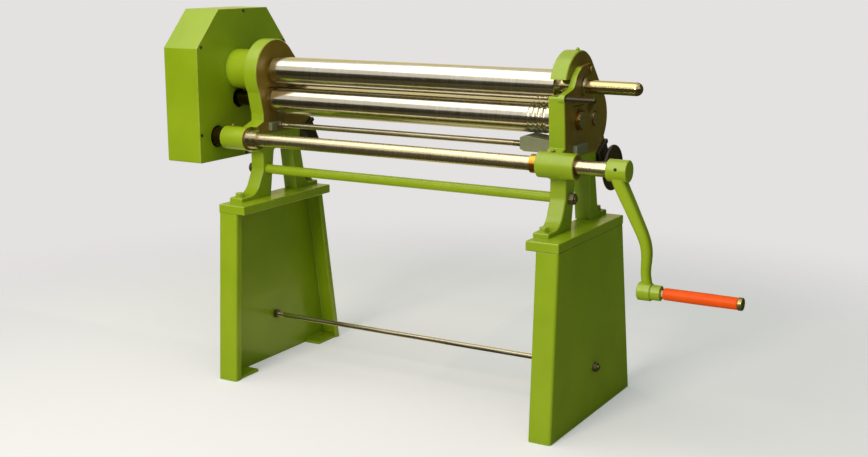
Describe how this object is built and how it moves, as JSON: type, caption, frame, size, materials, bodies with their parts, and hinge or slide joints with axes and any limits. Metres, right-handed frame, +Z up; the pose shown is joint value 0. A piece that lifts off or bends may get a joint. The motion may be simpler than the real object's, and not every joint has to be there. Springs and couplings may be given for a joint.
{
  "type": "roll bending machine",
  "caption": "Hand-cranked roll bending machine with long steel rolls between cast side frames, on folded stands with a gear cover, wedge lift and latched top roll.",
  "frame": {"origin": "on the floor, at the middle of the four anchor holes; the top and lower rolls' axes stand above it", "axes": "+X along the rolls towards the crank, +Y to the back where the rear roll is, +Z up"},
  "size_m": [1.886, 0.594, 1.17],
  "materials": {
    "green_paint": "gloss",
    "black_paint": "satin",
    "bronze": "satin",
    "polished_steel": "polished",
    "machined_iron": "satin",
    "zinc_steel": "satin",
    "grip_plastic": "gloss",
    "ferrule_plastic": "satin"
  },
  "bodies": {
    "machine_frame": {"left_stand": "green_paint", "right_stand": "green_paint", "foot_plates": "green_paint", "stand_caps": "green_paint", "lower_tie_rod": "polished_steel", "lower_tie_nuts": "zinc_steel", "left_side_frame": "green_paint", "right_side_frame": "green_paint", "oil_nipples": "bronze", "frame_foot_bolts": "green_paint", "frame_foot_washers": "green_paint", "upper_tie_rod": "green_paint", "upper_tie_nuts": "zinc_steel", "drive_shaft_bushes": "bronze", "top_roll_bush": "bronze", "gear_cover_shell": "green_paint", "gear_cover_plate": "green_paint", "gear_cover_screws": "zinc_steel", "cover_plate_screws": "zinc_steel", "screw_yokes": "black_paint", "yoke_bolts": "zinc_steel", "latch_pin": "zinc_steel", "latch_stop_pin": "zinc_steel"},
    "wedge_set": {"left_wedge": "machined_iron", "right_wedge": "machined_iron", "wedge_rod": "polished_steel", "wedge_nuts": "zinc_steel"},
    "lower_carriage": {"lower_bearing_blocks": "machined_iron", "lower_roll_bushes": "bronze"},
    "lower_roll_set": {"lower_roll": "polished_steel", "lower_roll_gear": "machined_iron", "main_gear": "machined_iron", "lower_roll_key": "zinc_steel", "lower_gear_ring": "zinc_steel"},
    "top_roll_set": {"top_roll": "polished_steel", "top_roll_gear": "machined_iron", "top_roll_key": "zinc_steel", "top_gear_ring": "zinc_steel", "nose_collar": "polished_steel", "nose_collar_screw": "zinc_steel"},
    "crank_set": {"drive_shaft": "polished_steel", "shaft_collars": "polished_steel", "drive_pinion": "machined_iron", "pinion_key": "zinc_steel", "crank_arm": "green_paint", "crank_set_screw": "zinc_steel", "handle_spindle": "polished_steel", "handle_ferrule": "ferrule_plastic", "handle_end_nut": "bronze"},
    "grip_set": {"crank_grip": "grip_plastic"},
    "rear_carriage": {"rear_bearing_blocks": "machined_iron", "rear_roll_bushes": "bronze"},
    "rear_roll_set": {"rear_roll": "polished_steel"},
    "left_screw_set": {"left_adjusting_screw": "machined_iron"},
    "right_screw_set": {"right_adjusting_screw": "machined_iron"},
    "handwheel_set": {"cross_shaft": "polished_steel", "cross_shaft_bevels": "machined_iron", "handwheel": "black_paint"},
    "latch_set": {"top_roll_latch": "green_paint", "latch_handle": "polished_steel"}
  },
  "joints": [
    {"name": "wedge_slide", "type": "slide", "parent": "machine_frame", "child": "wedge_set", "axis": [1, 0, 0], "range_m": [-0.012, 0.012]},
    {"name": "lower_lift", "type": "slide", "parent": "machine_frame", "child": "lower_carriage", "axis": [0, 0, 1], "range_m": [-0.0015, 0.0015]},
    {"name": "lower_roll_spin", "type": "hinge", "parent": "lower_carriage", "child": "lower_roll_set", "pos_m": [0, 0, 0.88], "axis": [1, 0, 0], "continuous": true},
    {"name": "top_roll_spin", "type": "hinge", "parent": "machine_frame", "child": "top_roll_set", "pos_m": [0, 0, 0.975], "axis": [1, 0, 0], "continuous": true},
    {"name": "crank_turn", "type": "hinge", "parent": "machine_frame", "child": "crank_set", "pos_m": [0, -0.11593, 0.764], "axis": [1, 0, 0], "continuous": true},
    {"name": "grip_spin", "type": "hinge", "parent": "crank_set", "child": "grip_set", "pos_m": [0.9, -0.11593, 0.437], "axis": [1, 0, 0], "continuous": true},
    {"name": "handwheel_turn", "type": "hinge", "parent": "machine_frame", "child": "handwheel_set", "pos_m": [0, 0.206, 0.71612], "axis": [1, 0, 0], "range_deg": [-2160, 0]},
    {"name": "left_screw_turn", "type": "hinge", "parent": "machine_frame", "child": "left_screw_set", "pos_m": [-0.562, 0.116, 0.872], "axis": [0, -0.5, 0.866], "range_deg": [-2160, 0]},
    {"name": "right_screw_turn", "type": "hinge", "parent": "machine_frame", "child": "right_screw_set", "pos_m": [0.508, 0.116, 0.872], "axis": [0, -0.5, 0.866], "range_deg": [-2160, 0]},
    {"name": "rear_lift", "type": "slide", "parent": "machine_frame", "child": "rear_carriage", "axis": [0, -0.5, 0.866], "range_m": [0, 0.03]},
    {"name": "rear_roll_spin", "type": "hinge", "parent": "rear_carriage", "child": "rear_roll_set", "pos_m": [0, 0.116, 0.872], "axis": [1, 0, 0], "continuous": true},
    {"name": "latch_lift", "type": "hinge", "parent": "machine_frame", "child": "latch_set", "pos_m": [0.5425, 0.032, 1.022], "axis": [-1, 0, 0], "range_deg": [0, 95]}
  ],
  "couplings": [
    {"joint": "lower_lift", "follows": "wedge_slide", "ratio": 0.125},
    {"joint": "top_roll_spin", "follows": "lower_roll_spin", "ratio": -1},
    {"joint": "crank_turn", "follows": "lower_roll_spin", "ratio": -3.5556},
    {"joint": "handwheel_turn", "follows": "rear_lift", "rad_per_m": -1256.6},
    {"joint": "left_screw_turn", "follows": "rear_lift", "rad_per_m": -1256.6},
    {"joint": "right_screw_turn", "follows": "rear_lift", "rad_per_m": -1256.6}
  ]
}
